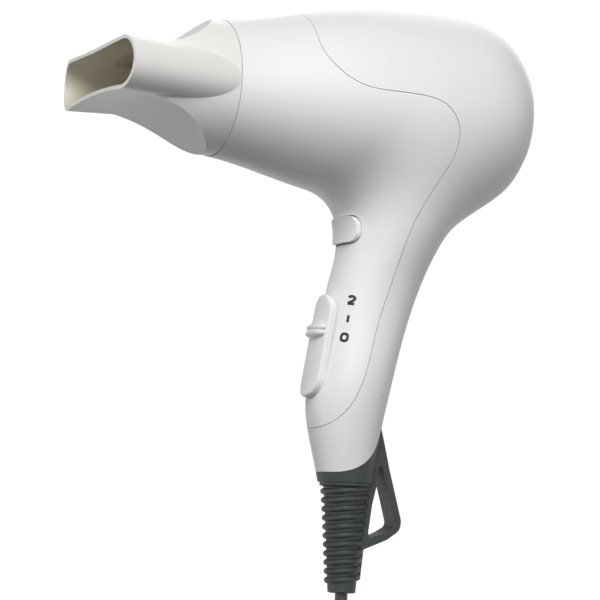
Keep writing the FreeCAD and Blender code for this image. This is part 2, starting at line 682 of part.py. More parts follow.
def mouth_cutter():
    """What lies in front of the mouth's gently bowed edge."""
    middle = FRONT_X + NOZZLE_LENGTH
    points = []
    for i in range(-5, 6):
        y = i / 5 * (MOUTH_HALF_W + 4.0)
        points.append(V(middle - MOUTH_SWEEP * abs(y / MOUTH_HALF_W) ** 3, y, AXIS_Z - 40))
    curve = Part.BSplineCurve()
    curve.interpolate(points)
    corners = [points[-1], V(middle + 20, points[-1].y, AXIS_Z - 40)]
    corners += [V(middle + 20, points[0].y, AXIS_Z - 40), points[0]]
    edges = [curve.toShape()]
    edges += [Part.makeLine(corners[i], corners[i + 1]) for i in range(3)]
    return Part.Face(Part.Wire(edges)).extrude(V(0, 0, 80))


def make_nozzle():
    rear = FRONT_X - SPIGOT_DEPTH
    bore = SPIGOT_R - NOZZLE_WALL
    spigot = rod(rear, FRONT_X + SLIDE_GAP + 1.0, SPIGOT_R).fuse(rod(rear, rear + 1.5, 26.2))
    body = nozzle_solid(0.0).cut(nozzle_solid(NOZZLE_WALL)).fuse(spigot)
    body = body.cut(rod(rear - 1, FRONT_X + SLIDE_GAP + 2.0, bore))
    export("concentrator_nozzle", biggest(body.cut(mouth_cutter())))
    ring = tube(rear + 1.5 + SLIDE_GAP, FRONT_X, SPIGOT_R + FIT, SPIGOT_R + FIT + SNAP_RING_T)
    export("nozzle_ring", ring)


# ---------------------------------------------------------------- controls
def make_slider():
    """A plate bent to the grip's curve, with a two-lipped knob, a stem through the slot and a carriage."""
    half = SLIDER_LENGTH / 2
    blank = pill(SLIDER_HALF_W, SLIDER_LENGTH, SLIDER_HALF_W - 0.1, -8.0, 12.0, half)
    deep = V(-SLIDER_CURVE_R, 0, -10.0)
    top_face = Part.makeCylinder(SLIDER_CURVE_R + SLIDER_PROUD, SLIDER_LENGTH + 20, deep, Z_AXIS)
    under = Part.makeCylinder(SLIDER_CURVE_R + SLIDER_LIFT, SLIDER_LENGTH + 20, deep, Z_AXIS)
    plate = blank.common(top_face)
    rim = [e for e in plate.Edges if is_on_plate_top(e)]
    plate = biggest(plate.makeFillet(SLIDER_EDGE_R, rim).cut(under))
    lips = [knob_lip(KNOB_HEIGHT + side * KNOB_PITCH / 2) for side in (-1, 1)]
    stem = box(-WALL * 2.0, SLIDER_LIFT + 0.8, -SLIDER_STEM_R, SLIDER_STEM_R, half - SLIDER_STEM_R, half + SLIDER_STEM_R)
    keep = box(SLIDER_LIFT + 0.4, 12, -20, 20, 0, SLIDER_LENGTH)
    slider = plate.fuse([lip.common(keep) for lip in lips] + [stem])
    export("speed_slider", along_slider(biggest(slider)))
    top = -WALL * 2.0
    carriage = box(top - 3.0, top, -5.0, 5.0, half - 6.0, half + 6.0)
    export("slider_carriage", along_slider(carriage))


def is_on_plate_top(edge):
    """True for an edge whose points all lie on the plate's outer face."""
    for share in (0.0, 0.3, 0.7, 1.0):
        at = edge.valueAt(edge.FirstParameter + share * (edge.LastParameter - edge.FirstParameter))
        if abs(math.hypot(at.x + SLIDER_CURVE_R, at.y) - SLIDER_CURVE_R - SLIDER_PROUD) > 0.01:
            return False
    return True


def knob_lip(height):
    """One of the knob's lips: a bar across the slider that is fattest in its middle."""
    stretch = FreeCAD.Matrix()
    stretch.scale(V(KNOB_R, KNOB_HALF_W, KNOB_LIP_HALF))
    lip = Part.makeSphere(1.0).transformGeometry(stretch)
    lip.translate(V(SLIDER_PROUD - 0.3, 0, height))
    return lip


def board_box(half_width):
    return along_slider(box(-24.0, -22.4, -half_width, half_width, 20.0, 80.0))


def make_switches(inner):
    floor = -WALL * 2.0 - 3.0 - SLIDE_GAP
    switch = box(-22.4, floor, -6.5, 6.5, 20.0, 54.0)
    export("switch_unit", along_slider(switch))
    board = board_box(15.0).common(inner)
    export("control_board", biggest(board))
    flange_x = 0.5
    tip = -4.4
    cool = box(-25.0, tip, -4.5, 4.5, BUTTON_Z - 5.5, BUTTON_Z + 5.5)
    behind = along_slider(box(-60.0, -22.4, -30, 30, -20.0, 120.0))
    export("cool_switch", biggest(cool.cut(behind)))
    export("filter_capacitor", along_slider(box(-30.0, -24.0, -5.0, 5.0, 28.0, 42.0)))
    choke = Part.makeCylinder(4.5, 8.0, V(-32.0, 0, 54.0), X_AXIS)
    choke = choke.cut(Part.makeCylinder(1.6, 6.0, V(-33.0, 0, 54.0), X_AXIS))
    export("suppression_choke", along_slider(choke))
    return flange_x, tip


def make_cool_button(outer, flange_x, spring_x):
    height = BUTTON_HEIGHT
    block = pill(BUTTON_HALF_W, height, 4.4, flange_x, 30, BUTTON_Z)
    raised = outer.copy()
    raised.translate(V(BUTTON_PROUD, 0, 0))
    grow = 2 * (BUTTON_GAP + BUTTON_FLANGE)
    flange = pill(BUTTON_HALF_W + grow / 2, height + grow, 4.8, flange_x, flange_x + 1.6, BUTTON_Z)
    stem = Part.makeCylinder(1.2, 2.6, V(flange_x - 2.6, 0, BUTTON_Z), X_AXIS)
    button = biggest(block.common(raised)).fuse([flange, stem])
    export("cool_button", biggest(button))
    length = flange_x - spring_x
    pitch = length / 3.0
    wire_r = 0.35
    radius = 2.3
    helix = Part.makeHelix(pitch, length - 2 * wire_r - 0.02, radius)
    circle = Part.Wire([Part.makeCircle(wire_r, V(radius, 0, 0), V(0, 1, pitch / (2 * math.pi * radius)))])
    spring = Part.Wire(helix.Edges).makePipeShell([circle], True, True)
    spring.rotate(V(0, 0, 0), Y_AXIS, 90)
    spring.translate(V(spring_x + wire_r + 0.01, 0, BUTTON_Z))
    export("cool_spring", spring)


# ---------------------------------------------------------------- grip foot, boot and loop
def boot_radius(z):
    """The boot's outer radius, straight from its top to its end."""
    share = max(0.0, (BOOT_TOP_Z - z) / (BOOT_TOP_Z - BOOT_END_Z))
    return BOOT_TOP_R + (BOOT_END_R - BOOT_TOP_R) * share ** 0.8


def make_boot(outer, inner):
    centre = V(BOOT_X, 0, 0)
    neck = outer.common(foot_prism(0.1)).common(box(-60, 60, -60, 60, BOOT_TOP_Z, 0))
    plug = inner.common(box(-60, 60, -60, 60, BOOT_TOP_Z, -20.0))
    outline = [(0.0, BOOT_TOP_Z + 2.0), (boot_radius(BOOT_TOP_Z), BOOT_TOP_Z + 2.0)]
    outline += [(boot_radius(BOOT_TOP_Z), BOOT_TOP_Z - 1.5)]
    depth = BOOT_RIB_R
    steps = 6
    for i in range(steps + 1):
        z = BOOT_TOP_Z - 2.0 + (BOOT_END_Z + 2.5 - BOOT_TOP_Z) * i / steps
        outline.append((boot_radius(z) - depth, z))
    outline += [(BOOT_END_R - depth - 1.0, BOOT_END_Z), (0.0, BOOT_END_Z)]
    corners = [centre + V(r, 0, z) for r, z in outline]
    core = Part.Face(Part.makePolygon(corners + corners[:1])).revolve(centre, Z_AXIS, 360)
    ribs = []
    for i in range(BOOT_RIBS):
        ribs.append(boot_rib(centre, BOOT_TOP_Z - 3.0 - BOOT_RIB_PITCH * i))
    spine = box(-7.4, BOOT_X, -2.6, 2.6, BOOT_END_Z + 6.0, BOOT_TOP_Z)
    cone = Part.makeCone(boot_radius(BOOT_TOP_Z), BOOT_END_R, BOOT_TOP_Z - BOOT_END_Z, centre + V(0, 0, BOOT_TOP_Z), V(0, 0, -1))
    boot = neck.fuse([plug, core, hanging_loop(outer)] + ribs + [spine.common(cone)])
    boot = boot.cut(Part.makeCylinder(CORD_R, 120, centre + V(0, 0, -100), Z_AXIS))
    export("cord_boot", biggest(boot))


def boot_rib(centre, z):
    """A round rib that climbs a little towards the rear of the boot."""
    lean = math.radians(BOOT_RIB_LEAN)
    axis = V(math.sin(lean), 0, math.cos(lean))
    return Part.makeTorus(boot_radius(z) - BOOT_RIB_R, BOOT_RIB_R, centre + V(0, 0, z), axis)


def hanging_loop(outer):
    """A flat band that leaves the rear of the grip's foot and comes back to the boot."""
    rim = [(-9.8, -19.0), (-12.0, -27.0), (-14.6, -37.0), (-18.2, -49.0), (-21.0, -58.5), (-20.4, -62.4)]
    rim += [(-14.5, -66.6), (-3.0, -71.4), (0.0, -68.0), (0.0, -24.0), (-6.0, -20.5)]
    window = [(-9.0, -35.5), (-10.8, -35.0), (-15.2, -49.5), (-17.9, -58.8), (-17.4, -60.8)]
    window += [(-13.2, -63.4), (-6.2, -66.4), (-5.4, -64.0), (-6.8, -52.0), (-8.6, -44.0)]
    blank = side_prism(rim, LOOP_WIDTH / 2)
    blank = blank.makeFillet(5.0, corner_edges(blank, [(-21.0, -58.5), (-20.4, -62.4)]))
    hole = side_prism(window, LOOP_WIDTH)
    hole = hole.makeFillet(2.2, corner_edges(hole, [(-17.9, -58.8), (-17.4, -60.8), (-13.2, -63.4)]))
    hole = hole.makeFillet(0.9, corner_edges(hole, [(-9.0, -35.5), (-10.8, -35.0)]))
    band = blank.cut(hole)
    return band.cut(box(-30, 60, -30, 30, FOOT_Z - FIT, 0)).cut(outer.cut(foot_prism(FIT)))


def corner_edges(shape, places):
    """The edges across the object that pass through these (x, z) places."""
    found = []
    for edge in shape.Edges:
        middle = edge.CenterOfMass
        if abs(middle.y) < 0.01 and any(math.hypot(middle.x - x, middle.z - z) < 0.1 for x, z in places):
            found.append(edge)
    return found


def make_cord_entry():
    clamp = box(-5.0, 12.6, -7.5, 7.5, -20.0, -12.0)
    clamp = clamp.cut(Part.makeCylinder(CORD_R, 30, V(BOOT_X, 0, -30), Z_AXIS))
    export("cord_clamp", clamp)
    top = -9.0
    entry = Part.makeCylinder(CORD_R, top - BOOT_END_Z, V(BOOT_X, 0, BOOT_END_Z), Z_AXIS)
    export("cord_in_grip", entry)
    cores = []
    room = along_slider(box(-60.0, 20.0, -20, 20, 20.0, 120.0))
    for y in (-1.3, 1.3):
        core = Part.makeCylinder(0.9, 60.0, V(BOOT_X, y, top), Z_AXIS)
        cores.append(biggest(core.cut(room)))
    export("cord_cores", Part.makeCompound(cores))


def make_leads():
    cone_z = AXIS_Z - 32.0
    block = box(-6.0, 6.0, -7.5, 7.5, cone_z - 6.0, AXIS_Z - 20.0)
    small = SLEEVE_R + SLEEVE_WALL + 2 * FIT + DUCT_WALL
    start = HEATER_REAR_X - 1.0
    wide = DUCT_R + DUCT_WALL + FIT
    outline = [(DUCT_REAR_X, 0.0), (DUCT_REAR_X, wide), (DUCT_CONE_X, wide)]
    outline += [(start, small), (start + 4.0, small), (start + 4.0, 0.0)]
    block = biggest(block.cut(revolve_x(outline)))
    export("terminal_block", block)
    leads = []
    room = along_slider(box(-60.0, 20.0, -20, 20, -40.0, 54.0))
    for y in (-5.9, 5.9):
        lead = Part.makeCylinder(0.8, cone_z - 6.0 - 20.0, V(-3.0, y, 20.0), Z_AXIS)
        leads.append(biggest(lead.cut(room)))
    export("lead_wires", Part.makeCompound(leads))


# ---------------------------------------------------------------- cord, hank and plug
def cord_route():
    """The hanging stretch, from the boot's end to the hank's top."""
    top = HANK_TOP_Z - CORD_R
    return [V(BOOT_X, 0, BOOT_END_Z), V(BOOT_X, 0, -108.0), V(BOOT_X - 1.6, 0, -130.0), V(BOOT_X - 1.2, 0, top)]


def cord_path(points):
    """Straight runs joined by tangent arcs as large as their runs allow."""
    edges = []
    here = points[0]
    radii = []
    for i in range(1, len(points) - 1):
        corner = points[i]
        back = (points[i - 1] - corner)
        ahead = (points[i + 1] - corner)
        turn = math.pi - back.getAngle(ahead)
        set_back = 0.45 * min(back.Length, ahead.Length)
        radius = set_back / math.tan(turn / 2)
        radii.append(round(radius, 1))
        first = corner + back.normalize() * set_back
        last = corner + ahead.normalize() * set_back
        inward = (back + ahead).normalize()
        middle = corner + inward * (radius / math.cos(turn / 2) - radius)
        edges.append(Part.LineSegment(here, first).toShape())
        edges.append(Part.Arc(first, middle, last).toShape())
        here = last
    edges.append(Part.LineSegment(here, points[-1]).toShape())
    print("cord radii", radii)
    return Part.Wire(edges)


def make_cord():
    path = cord_path(cord_route())
    circle = Part.Wire([Part.makeCircle(CORD_R, V(BOOT_X, 0, BOOT_END_Z), Z_AXIS)])
    lead = path.makePipeShell([circle], True, False)
    print("cord tube volume", round(lead.Volume), "expected", round(math.pi * CORD_R ** 2 * path.Length))
    export("cord_tube", lead)
    return path.Length


def rounded_block(x, y, z0, z1, width, depth, corner):
    block = box(x - width / 2, x + width / 2, y - depth / 2, y + depth / 2, z0, z1)
    return block.makeFillet(corner, block.Edges)


def make_hank():
    x = BOOT_X - 1.2
    bottom = HANK_TOP_Z - HANK_RUN
    hank = rounded_block(x, 0.0, bottom, HANK_TOP_Z - CORD_R, HANK_WIDTH, HANK_DEPTH, 8.0)
    middle = (bottom + HANK_TOP_Z) / 2
    room = HANK_WIDTH / 2 + 3
    tie = box(x - room + 1.6, x + room - 1.6, -HANK_DEPTH / 2 - 1.4, HANK_DEPTH / 2 + 1.4, middle - 4, middle + 4)
    upright = [e for e in tie.Edges if abs(e.tangentAt(e.FirstParameter).z) > 0.99]
    tie = tie.makeFillet(7.0, upright)
    export("cord_hank", hank)
    export("cord_tie", tie.cut(hank))
    return x, bottom


def make_plug(x, bottom):
    """A flat two-pin plug that hangs under the hank with its pins down."""
    top = bottom
    body_len = 34.0
    back = Part.makeCone(4.4, 6.6, 16.0, V(x, 0, top), V(0, 0, -1))
    export("plug_boot", back)
    z1 = top - 16.0
    half = PIN_SPACING / 2 + 8.0
    outline = [V(x - 8, -6.8, z1), V(x + 8, -6.8, z1), V(x + half, -6.8, z1 - 16)]
    outline += [V(x + half, -6.8, z1 - body_len), V(x - half, -6.8, z1 - body_len), V(x - half, -6.8, z1 - 16)]
    body = Part.Face(Part.makePolygon(outline + outline[:1])).extrude(V(0, 13.6, 0))
    body = body.makeFillet(3.0, body.Edges)
    export("plug_body", body)
    pins = []
    for side in (-1, 1):
        start = V(x + side * PIN_SPACING / 2, 0, z1 - body_len)
        pin = Part.makeCylinder(PIN_R, PIN_LENGTH, start, V(0, 0, -1))
        far = [e for e in pin.Edges if abs(e.CenterOfMass.z - (z1 - body_len - PIN_LENGTH)) < 0.01]
        pins.append(pin.makeFillet(1.6, far))
    export("plug_pins", Part.makeCompound(pins))


def main():
    os.makedirs("parts", exist_ok=True)
    outer = body_solid(0.0, FRONT_X, BOOT_TOP_Z)
    inner = body_solid(-WALL, FRONT_X + 6.0, BOOT_TOP_Z - 6.0)
    print("body", outer.isValid(), round(outer.Volume), inner.isValid(), round(inner.Volume))
    make_casings(outer, inner)
    make_screws()
    make_intake(outer, inner)
    make_duct()
    make_rotor()
    make_motor()
    make_heater()
    make_nozzle()
    make_slider()
    flange_x, spring_x = make_switches(inner)
    make_cool_button(outer, flange_x, spring_x)
    make_boot(outer, inner)
    make_cord_entry()
    make_leads()
    make_cord()
    x, bottom = make_hank()
    make_plug(x, bottom)


main()
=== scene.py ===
"""The looks of a hand-held hair dryer, built round its packed frame: moulded shells, a ribbed cord boot,
switch marks, an intake screen, a heater winding and a mains cord put away in a hank."""

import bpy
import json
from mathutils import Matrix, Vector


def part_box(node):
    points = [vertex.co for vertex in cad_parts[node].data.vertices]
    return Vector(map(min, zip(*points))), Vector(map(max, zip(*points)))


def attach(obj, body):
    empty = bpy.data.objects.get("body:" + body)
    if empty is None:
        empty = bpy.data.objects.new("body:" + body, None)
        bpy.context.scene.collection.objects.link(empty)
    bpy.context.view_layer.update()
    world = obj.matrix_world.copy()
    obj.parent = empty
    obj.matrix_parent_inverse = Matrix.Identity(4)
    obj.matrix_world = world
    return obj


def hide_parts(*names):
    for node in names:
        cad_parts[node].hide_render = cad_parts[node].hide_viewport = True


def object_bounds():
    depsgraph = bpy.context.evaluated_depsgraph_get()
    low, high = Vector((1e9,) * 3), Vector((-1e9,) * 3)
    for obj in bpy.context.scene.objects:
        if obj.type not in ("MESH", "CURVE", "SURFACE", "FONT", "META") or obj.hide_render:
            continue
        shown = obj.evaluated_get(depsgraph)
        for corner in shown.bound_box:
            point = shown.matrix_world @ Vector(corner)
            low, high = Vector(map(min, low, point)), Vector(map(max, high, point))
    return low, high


bl_info = {
    "name": "Hair Dryer Looks",
    "version": (1, 0, 0),
    "blender": (4, 5, 0),
    "location": "View3D > Sidebar > Hair Dryer",
    "description": "Finishes, switch marks, screens, cord and studio for a hand-held hair dryer",
    "category": "Object",
}

import json
import math

import bpy
from bpy.props import FloatProperty, FloatVectorProperty, IntProperty, PointerProperty
from mathutils import Quaternion, Vector
from mathutils.bvhtree import BVHTree

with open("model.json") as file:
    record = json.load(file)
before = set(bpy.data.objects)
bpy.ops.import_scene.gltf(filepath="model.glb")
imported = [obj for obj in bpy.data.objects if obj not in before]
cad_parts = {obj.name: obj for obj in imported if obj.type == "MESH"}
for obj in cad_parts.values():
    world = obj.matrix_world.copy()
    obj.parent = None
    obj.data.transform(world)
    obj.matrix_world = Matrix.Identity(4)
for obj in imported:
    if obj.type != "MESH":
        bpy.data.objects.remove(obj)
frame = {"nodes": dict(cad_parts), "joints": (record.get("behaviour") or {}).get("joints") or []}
CAD_BOX = [list(corner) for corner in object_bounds()]

MM = 0.001
AXIS_HEIGHT = next(j for j in frame["joints"] if j["name"] == "nozzle_turn")["pos_m"][2]
NODES = frame["nodes"]


# ---------------------------------------------------------------- colours, nodes and meshes

def linear(hex_colour):
    """An sRGB hex colour as linear red, green and blue."""
    shares = [int(hex_colour[i:i + 2], 16) / 255 for i in (0, 2, 4)]
    return tuple(s / 12.92 if s <= 0.04045 else ((s + 0.055) / 1.055) ** 2.4 for s in shares)


def add_node(tree, kind, inputs=None, **settings):
    """Adds a node with its settings; an input is given a value, or a socket to link from."""
    node = tree.nodes.new(kind)
    for name, value in settings.items():
        setattr(node, name, value)
    for name, value in (inputs or {}).items():
        if isinstance(value, bpy.types.NodeSocket):
            tree.links.new(value, node.inputs[name])
        else:
            node.inputs[name].default_value = value
    return node


def new_material(name):
    """An empty node material with its output, and its Object coordinates."""
    material = bpy.data.materials.new(name)
    material.use_nodes = True
    tree = material.node_tree
    tree.nodes.clear()
    out = add_node(tree, "ShaderNodeOutputMaterial")
    place = add_node(tree, "ShaderNodeTexCoord").outputs["Object"]
    return material, tree, out, place


def finish_shader(tree, out, inputs):
    """Adds the surface shader and links it to the output."""
    shader = add_node(tree, "ShaderNodeBsdfPrincipled", inputs)
    tree.links.new(shader.outputs["BSDF"], out.inputs["Surface"])
    return shader


def noise(tree, place, spacing, detail=2.0):
    """Soft noise whose lumps are about one spacing apart, in metres."""
    wanted = {"Vector": place, "Scale": 1.0 / spacing, "Detail": detail, "Roughness": 0.5}
    return add_node(tree, "ShaderNodeTexNoise", wanted).outputs["Fac"]


def between(tree, share, low, high):
    """A number that goes from low to high as share goes from 0.3 to 0.7, the noise's usual range."""
    wanted = {"Value": share, "From Min": 0.3, "From Max": 0.7, "To Min": low, "To Max": high}
    return add_node(tree, "ShaderNodeMapRange", wanted).outputs["Result"]


def two_tones(tree, share, colour, other):
    """A colour that goes from one tone to another with share."""
    mixed = add_node(tree, "ShaderNodeMix", data_type="RGBA")
    tree.links.new(share, mixed.inputs[0])
    mixed.inputs[6].default_value = (*colour, 1)
    mixed.inputs[7].default_value = (*other, 1)
    return mixed.outputs[2]


def relief(tree, height, depth):
    """A bump of that depth in metres."""
    return add_node(tree, "ShaderNodeBump", {"Height": height, "Strength": 1.0, "Distance": depth}).outputs["Normal"]


def toned(colour, share):
    """The same colour, lighter or darker by a share."""
    return tuple(min(1.0, c * share) for c in colour)


def give(material, *nodes):
    """Assigns a material to CAD nodes by name."""
    for name in nodes:
        slots = NODES[name].data.materials
        slots.clear()
        slots.append(material)


def new_piece(name, vertices, faces, material, smooth=True):
    """A mesh object at the origin with its place in its mesh."""
    mesh = bpy.data.meshes.new(name)
    mesh.from_pydata(vertices, [], faces)
    mesh.materials.append(material)
    mesh.polygons.foreach_set("use_smooth", [smooth] * len(faces))
    piece = bpy.data.objects.new(name, mesh)
    bpy.context.scene.collection.objects.link(piece)
    return piece


# ---------------------------------------------------------------- settings

def colour_setting(name, description, hex_colour):
    return FloatVectorProperty(
        name=name, description=description, default=linear(hex_colour), subtype="COLOR", size=3, min=0, max=1)


def length_setting(name, description, millimetres):
    return FloatProperty(name=name, description=description, default=millimetres * MM, unit="LENGTH", precision=5)


class ShellSettings(bpy.types.PropertyGroup):
    """Colours and surface texture of the moulded shells."""
    shell: colour_setting("Shell", "Colour of the casings, slider and button", "F1EFED")
    nozzle: colour_setting("Nozzle", "Colour of the nozzle", "F1EFEC")
    # the inner-wall colour is painted shade: a darker, warmer greige for the shaded inside of the nozzle
    nozzle_inner_shade: colour_setting("Nozzle inside", "Colour of the nozzle's warm inner wall", "E6E0CF")
    soft: colour_setting("Soft parts", "Colour of the cord boot and grilles", "282D2E")
    cord: colour_setting("Cord", "Colour of the cord sheath and plug", "2A2D2E")
    grain: length_setting("Grain", "Spacing of the moulded texture", 0.45)


class MarkSettings(bpy.types.PropertyGroup):
    """The marks beside the speed slider."""
    ink: colour_setting("Ink", "Colour of the printed marks", "0E0F10")
    tall: length_setting("Height", "Height of a mark", 4.3)
    wide: length_setting("Width", "Width of the 2 and the 0", 4.1)
    stroke: length_setting("Stroke", "Width of a printed line", 1.2)


class IntakeSettings(bpy.types.PropertyGroup):
    """The woven dust screen behind the intake grille."""
    pitch: length_setting("Pitch", "Distance from wire to wire", 1.3)
    wire: length_setting("Wire", "Diameter of a wire", 0.36)


class CordSettings(bpy.types.PropertyGroup):
    """The mains cord and its put-away hank."""
    diameter: length_setting("Diameter", "Diameter of the cord", 5.4)
    length: length_setting("Length", "Length from the boot to the plug", 1800)
    fold: length_setting("Fold", "Half width of the outer turns' end folds", 18.9)
    layers: IntProperty(name="Layers", description="Layers of two turns in the hank", default=4, min=1, max=8)


class StudioSettings(bpy.types.PropertyGroup):
    """Camera, lights and floor."""
    azimuth: FloatProperty(name="Azimuth", description="Turn of the camera round the dryer",
                           default=math.radians(155.5), subtype="ANGLE")
    elevation: FloatProperty(name="Elevation", description="Camera's height above the level",
                             default=math.radians(-5.88), subtype="ANGLE")
    roll: FloatProperty(name="Roll", description="Turn of the camera about its own view",
                        default=math.radians(2.37), subtype="ANGLE")
    distance: length_setting("Distance", "Camera to the point it looks at", 1100)
    lens: FloatProperty(name="Lens", description="Focal length on a 36 mm sensor", default=154.8, min=10)
    key: FloatProperty(name="Key light", description="Power of the key light", default=14.5, unit="POWER")
    rear: FloatProperty(name="Rear light", description="Power of the light behind the dryer", default=7, unit="POWER")
    fill: FloatProperty(name="Fill light", description="Power of the fill light", default=5.6, unit="POWER")
    mouth: FloatProperty(name="Mouth light", description="Power of the light into the nozzle", default=3, unit="POWER")
    sky: FloatProperty(name="Sky", description="Strength of the even light", default=0.05, min=0)


# ---------------------------------------------------------------- materials

def satin_abs(name, colour, grain, gloss=0.40):
    """Acrylonitrile butadiene styrene, injection moulded in a spark-eroded tool. It is off-white right through,
    with a satin skin: broad soft highlights broken up by a texture too fine to see as grains."""
    material, tree, out, place = new_material(name)
    flow = noise(tree, place, 40 * MM, 3.0)
    skin = noise(tree, place, grain, 3.0)
    finish_shader(tree, out, {
        "Base Color": two_tones(tree, flow, toned(colour, 0.985), toned(colour, 1.01)),
        "Roughness": between(tree, skin, gloss - 0.04, gloss + 0.05),
        "IOR": 1.53,
        "Normal": relief(tree, skin, 0.006 * MM),
    })
    return material


def heatproof_nozzle(name, colour, inside, grain):
    """Glass-filled polyamide, moulded, for the heat. Outside it has the shell's satin skin, and the inner wall, whose
    face looks back at the axis, is painted a darker, warmer greige: painted shade for the shaded inside of the nozzle."""
    material, tree, out, place = new_material(name)
    axis = Vector((0, 0, -AXIS_HEIGHT))
    from_axis = add_node(tree, "ShaderNodeVectorMath", {0: place, 1: axis}, operation="ADD").outputs[0]
    across = add_node(tree, "ShaderNodeVectorMath", {0: from_axis, 1: (0, 1, 1)}, operation="MULTIPLY").outputs[0]
    unit = add_node(tree, "ShaderNodeVectorMath", {0: across}, operation="NORMALIZE").outputs[0]
    facing = add_node(tree, "ShaderNodeTexCoord").outputs["Normal"]
    outward = add_node(tree, "ShaderNodeVectorMath", {0: unit, 1: facing}, operation="DOT_PRODUCT").outputs["Value"]
    # painted shade mask: the faces whose normal looks back at the axis, the nozzle's inner wall, take the darker
    # greige
    inner = add_node(tree, "ShaderNodeMapRange", {
        "Value": outward, "From Min": -0.1, "From Max": -0.3, "To Min": 0.0, "To Max": 1.0}).outputs["Result"]
    skin = noise(tree, place, grain, 3.0)
    finish_shader(tree, out, {
        # the inner wall gets the painted shade colour, the outside keeps the shell's tone
        "Base Color": two_tones(tree, inner, colour, inside),
        "Roughness": between(tree, skin, 0.33, 0.42),
        "IOR": 1.53,
        "Normal": relief(tree, skin, 0.006 * MM),
    })
    return material


def soft_elastomer(name, colour, grain):
    """Thermoplastic elastomer, moulded in a fine matt tool. It is anthracite with a dull skin that shows a
    little paler where fingers and folds have rubbed it."""
    material, tree, out, place = new_material(name)
    handling = noise(tree, place, 9 * MM, 4.0)
    skin = noise(tree, place, grain, 2.0)
    finish_shader(tree, out, {
        "Base Color": two_tones(tree, handling, toned(colour, 0.9), toned(colour, 1.25)),
        "Roughness": between(tree, skin, 0.46, 0.62),
        "IOR": 1.48,
        "Normal": relief(tree, skin, 0.02 * MM),
    })
    return material


def pvc_sheath(name, colour):
    """Soft PVC, extruded as the cord's sheath. It has a low sheen and faint bands across it from the extruder."""
    material, tree, out, place = new_material(name)
    bands = noise(tree, place, 1.6 * MM, 2.0)
    finish_shader(tree, out, {
        "Base Color": two_tones(tree, bands, toned(colour, 0.92), toned(colour, 1.12)),
        "Roughness": between(tree, bands, 0.42, 0.52),
        "IOR": 1.53,
        "Normal": relief(tree, bands, 0.03 * MM),
    })
    return material


def moulded_nylon(name, colour, roughness=0.5):
    """Glass-filled nylon, moulded. It is opaque and even, with a slightly mottled skin from the glass."""
    material, tree, out, place = new_material(name)
    mottle = noise(tree, place, 1.2 * MM, 3.0)
    finish_shader(tree, out, {
        "Base Color": two_tones(tree, mottle, toned(colour, 0.85), toned(colour, 1.15)),
        "Roughness": between(tree, mottle, roughness - 0.06, roughness + 0.06),
        "IOR": 1.52,
    })
    return material


def drawn_metal(name, colour, roughness, streak=0.6):
    """A drawn or turned metal. Fine tool lines vary the gloss, and handling leaves dull patches."""
    material, tree, out, place = new_material(name)
    lines = noise(tree, place, streak * MM, 4.0)
    finish_shader(tree, out, {
        "Base Color": two_tones(tree, lines, toned(colour, 0.9), toned(colour, 1.05)),
        "Metallic": 1.0,
        "Roughness": between(tree, lines, roughness - 0.08, roughness + 0.1),
        "Normal": relief(tree, lines, 0.01 * MM),
    })
    return material


def mica_sheet(name):
    """Built-up mica paper, pressed with silicone. It is a pale straw with glittering flakes of 1 to 2 mm."""
    material, tree, out, place = new_material(name)
    flakes = add_node(tree, "ShaderNodeTexVoronoi", {"Vector": place, "Scale": 1 / (1.6 * MM)}).outputs["Color"]
    share = add_node(tree, "ShaderNodeSeparateColor", {"Color": flakes}).outputs[0]
    finish_shader(tree, out, {
        "Base Color": two_tones(tree, share, linear("BBA983"), linear("DACDAE")),
        "Roughness": between(tree, share, 0.2, 0.45),
        "IOR": 1.58,
    })
    return material


def phenolic_board(name):
    """Paper-phenolic circuit board. It is tan, with the faint fibres of the paper in it."""
    material, tree, out, place = new_material(name)
    fibres = noise(tree, place, 0.8 * MM, 5.0)
    finish_shader(tree, out, {
        "Base Color": two_tones(tree, fibres, linear("8E6A38"), linear("B4894C")),
        "Roughness": 0.45,
        "IOR": 1.55,
    })
    return material


def print_ink(name, colour):
    """Pad-printed ink, a few hundredths of a millimetre thick. It is near black and a little glossier than
    the satin skin under it."""
    material, tree, out, place = new_material(name)
    cover = noise(tree, place, 0.5 * MM, 2.0)
    finish_shader(tree, out, {
        "Base Color": two_tones(tree, cover, colour, toned(colour, 1.3)),
        "Roughness": 0.35,
        "IOR": 1.5,
    })
    return material


# ---------------------------------------------------------------- switch marks

def ribbon(line, width, closed=False):
    """A flat stroke of even width along a line of (across, up) points, as vertices and faces."""
    places, faces = [], []
    count = len(line)
    for i, (a, b) in enumerate(line):
        before = line[i - 1] if closed or i else line[0]
        after = line[(i + 1) % count] if closed or i < count - 1 else line[-1]
        along = Vector((after[0] - before[0], after[1] - before[1])).normalized()
        for side in (-1, -0.5, 0, 0.5, 1):
            places.append((a - along.y * side * width / 2, b + along.x * side * width / 2))
    for i in range(count if closed else count - 1):
        j = (i + 1) % count
        faces += [(5 * i + k + 1, 5 * i + k, 5 * j + k, 5 * j + k + 1) for k in range(4)]
    return places, faces


def smooth_line(points, parts=8):
    """A line through given points, rounded between them."""
    line = []
    for i in range(len(points) - 1):
        p0, p1, p2, p3 = (points[max(0, min(len(points) - 1, i + k))] for k in (-1, 0, 1, 2))
        for step in range(parts):
            t = step / parts
            line.append(tuple(
                0.5 * (2 * b + (c - a) * t + (2 * a - 5 * b + 4 * c - d) * t * t + (3 * b - a - 3 * c + d) * t ** 3)
                for a, b, c, d in zip(p0, p1, p2, p3)))
    return line + [points[-1]]


